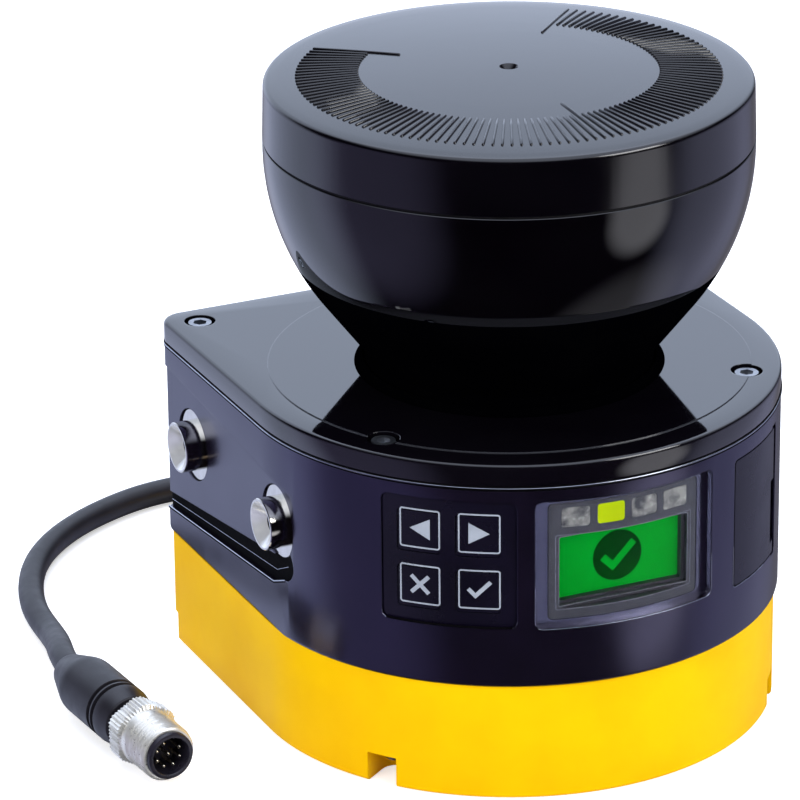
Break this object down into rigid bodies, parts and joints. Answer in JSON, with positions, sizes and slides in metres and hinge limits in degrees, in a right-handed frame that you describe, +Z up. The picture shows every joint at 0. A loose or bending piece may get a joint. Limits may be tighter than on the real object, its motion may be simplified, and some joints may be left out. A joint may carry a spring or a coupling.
{
  "type": "safety laser scanner",
  "caption": "Safety laser scanner with a flared optics head on a D-shaped black housing over a yellow base, keypad, display window, service flap and a pigtail cable with a round plug.",
  "frame": {"origin": "on the flat underside of the base casting, on the vertical axis of the optics head and its rotor", "axes": "+Z up along the head's axis, -Y towards the half round front with the display, +X to the right seen from the front"},
  "size_m": [0.1513, 0.1784, 0.1369],
  "materials": {
    "yellow_casting": "satin powder coat",
    "black_casting": "satin, fine grained paint",
    "black_plate": "satin paint round a polished disc",
    "optics_plastic": "polished, infrared passing black",
    "cap_plastic": "satin",
    "keypad_plastic": "satin",
    "black_rubber": "matt",
    "bright_steel": "bright turned, nickel plated",
    "screw_steel": "plain",
    "aluminium": "machined",
    "window_clear": "clear, glossy",
    "frame_plastic": "satin",
    "screen_green": "lit green",
    "lamp_dark": "diffuse",
    "lamp_lit": "lit yellow green",
    "circuit_board": "solder mask",
    "lens_glass": "polished",
    "mirror_glass": "front coated",
    "copper_winding": "lacquered",
    "contact_gold": "bright"
  },
  "bodies": {
    "scanner": {"base_casting": "yellow_casting", "base_seal": "black_rubber", "base_screws": "screw_steel", "terminal_board": "circuit_board", "housing": "black_casting", "cover_seal": "black_rubber", "cover_plate": "black_plate", "cover_screws": "screw_steel", "clamp_ring": "aluminium", "clamp_screws": "screw_steel", "foot_seal": "black_rubber", "optics_cover": "optics_plastic", "cap_seal": "black_rubber", "optics_cap": "cap_plastic", "side_bushes_left": "bright_steel", "side_bushes_right": "bright_steel", "rear_bushes": "bright_steel", "keypad_panel": "keypad_plastic", "key_switches": "circuit_board", "display_window": "window_clear", "display_frame": "frame_plastic", "display_screen": "screen_green", "status_lenses": "lamp_dark", "status_lens_lit": "lamp_lit", "display_board": "circuit_board", "flap_pin": "screw_steel", "service_socket": "screw_steel", "cable_gland": "frame_plastic", "strain_relief": "black_rubber", "cable": "black_rubber", "plug_body": "black_rubber", "plug_insert": "frame_plastic", "plug_pins": "contact_gold", "main_board": "circuit_board", "motor_bracket": "aluminium", "motor_stator": "copper_winding", "motor_bearings": "screw_steel", "lens_holder": "aluminium", "receiver_lens": "lens_glass", "laser_module": "screw_steel", "receiver_board": "circuit_board"},
    "rotor": {"rotor_shaft": "screw_steel", "mirror_carrier": "aluminium", "scan_mirror": "mirror_glass", "encoder_disc": "screw_steel"},
    "key_left_cap": {"key_left": "keypad_plastic"},
    "key_right_cap": {"key_right": "keypad_plastic"},
    "key_cancel_cap": {"key_cancel": "keypad_plastic"},
    "key_confirm_cap": {"key_confirm": "keypad_plastic"},
    "flap": {"service_flap": "keypad_plastic"},
    "coupling_sleeve": {"plug_sleeve": "bright_steel"}
  },
  "joints": [
    {"name": "mirror_spin", "type": "hinge", "parent": "scanner", "child": "rotor", "pos_m": [0, 0, 0.1], "axis": [0, 0, 1], "continuous": true},
    {"name": "key_left_press", "type": "slide", "parent": "scanner", "child": "key_left_cap", "axis": [0.7052, 0.709, 0], "range_m": [0, 0.0004], "stiffness_N_per_m": 2000, "springref_m": -0.0003},
    {"name": "key_right_press", "type": "slide", "parent": "scanner", "child": "key_right_cap", "axis": [0.5351, 0.8448, 0], "range_m": [0, 0.0004], "stiffness_N_per_m": 2000, "springref_m": -0.0003},
    {"name": "key_cancel_press", "type": "slide", "parent": "scanner", "child": "key_cancel_cap", "axis": [0.7052, 0.709, 0], "range_m": [0, 0.0004], "stiffness_N_per_m": 2000, "springref_m": -0.0003},
    {"name": "key_confirm_press", "type": "slide", "parent": "scanner", "child": "key_confirm_cap", "axis": [0.5351, 0.8448, 0], "range_m": [0, 0.0004], "stiffness_N_per_m": 2000, "springref_m": -0.0003},
    {"name": "flap_hinge", "type": "hinge", "parent": "scanner", "child": "flap", "pos_m": [0.04063, -0.03588, 0.05045], "axis": [0, 0, 1], "range_deg": [0, 80]},
    {"name": "sleeve_spin", "type": "hinge", "parent": "scanner", "child": "coupling_sleeve", "pos_m": [-0.0873, 0.0314, 0.0071], "axis": [0.0785, -0.9969, 0], "continuous": true}
  ]
}
